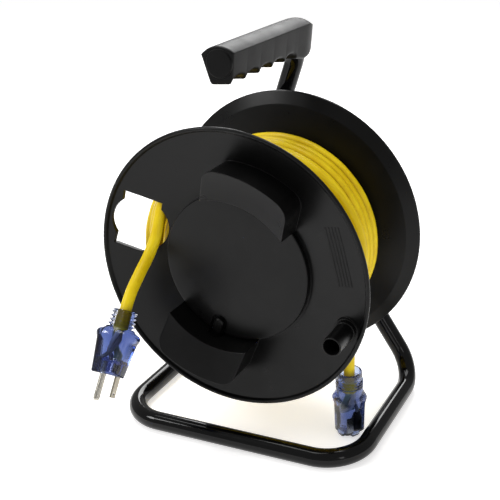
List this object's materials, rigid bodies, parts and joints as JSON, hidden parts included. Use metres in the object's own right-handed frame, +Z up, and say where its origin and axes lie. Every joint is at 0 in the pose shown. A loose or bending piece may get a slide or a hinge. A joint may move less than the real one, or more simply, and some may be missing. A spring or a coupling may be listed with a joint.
{
  "type": "extension cord reel",
  "caption": "Hand-wound extension cord reel: yellow cord on a black plastic drum, turning on an axle in a bent tube stand with a carrying grip, clear blue plug and connector.",
  "frame": {"origin": "on the floor, straight below the middle of the reel on its axle", "axes": "+Z up; the axle lies along Y, with the crank knob side towards -Y and the stand legs towards +Y; +X to the right seen from the knob side"},
  "size_m": [0.234, 0.2503, 0.3315],
  "materials": {
    "black_enamel": "glossy black enamel on steel tube",
    "zinc_steel": "zinc plated steel",
    "grip_rubber": "satin soft moulded grip",
    "black_plastic": "satin black moulded plastic",
    "nylon": "natural nylon",
    "cord_jacket": "satin yellow vinyl cord jacket",
    "clear_blue": "translucent blue moulded vinyl",
    "white_insert": "moulded insert",
    "blade_metal": "nickel plated brass",
    "wire_jackets": "insulated conductors",
    "lamp_lens": "small neon lamp"
  },
  "bodies": {
    "stand": {"stand_tube": "black_enamel", "axle_bracket": "black_enamel", "axle": "zinc_steel", "axle_spacer": "zinc_steel", "axle_washers": "zinc_steel", "axle_lock_nut": "zinc_steel", "grip": "grip_rubber", "grip_end_cap": "grip_rubber"},
    "reel": {"front_flange": "black_plastic", "rear_flange": "black_plastic", "drum_core": "black_plastic", "hub_cover": "black_plastic", "cover_pin": "black_plastic", "front_bearing": "nylon", "rear_bearing": "nylon", "tie_bolts": "zinc_steel", "tie_nuts": "zinc_steel", "cord_coil": "cord_jacket", "window_cord": "cord_jacket", "knob_push_nut": "zinc_steel"},
    "knob": {"crank_knob": "black_plastic"},
    "plug_end": {"plug_cord": "cord_jacket", "plug_body": "clear_blue", "plug_bridge": "white_insert", "plug_blades": "blade_metal", "plug_ground_pin": "blade_metal", "plug_wires": "wire_jackets", "plug_lamp": "lamp_lens"},
    "socket_end": {"socket_cord": "cord_jacket", "socket_body": "clear_blue", "socket_core": "black_plastic", "socket_contacts": "blade_metal", "socket_wires": "wire_jackets", "socket_lamp": "lamp_lens"}
  },
  "joints": [
    {"name": "reel_spin", "type": "hinge", "parent": "stand", "child": "reel", "pos_m": [0, 0, 0.153], "axis": [0, 1, 0], "continuous": true},
    {"name": "knob_spin", "type": "hinge", "parent": "reel", "child": "knob", "pos_m": [0.09638, -0.07, 0.11962], "axis": [0, 1, 0], "continuous": true},
    {"name": "plug_swing", "type": "hinge", "parent": "reel", "child": "plug_end", "pos_m": [-0.073, -0.062, 0.1571], "axis": [1, 0, 0], "range_deg": [-35, 20], "stiffness_Nm_per_rad": 0.15},
    {"name": "socket_swing", "type": "hinge", "parent": "stand", "child": "socket_end", "pos_m": [0.0845, -0.022, 0.153], "axis": [1, 0, 0], "range_deg": [-6, 15]}
  ]
}
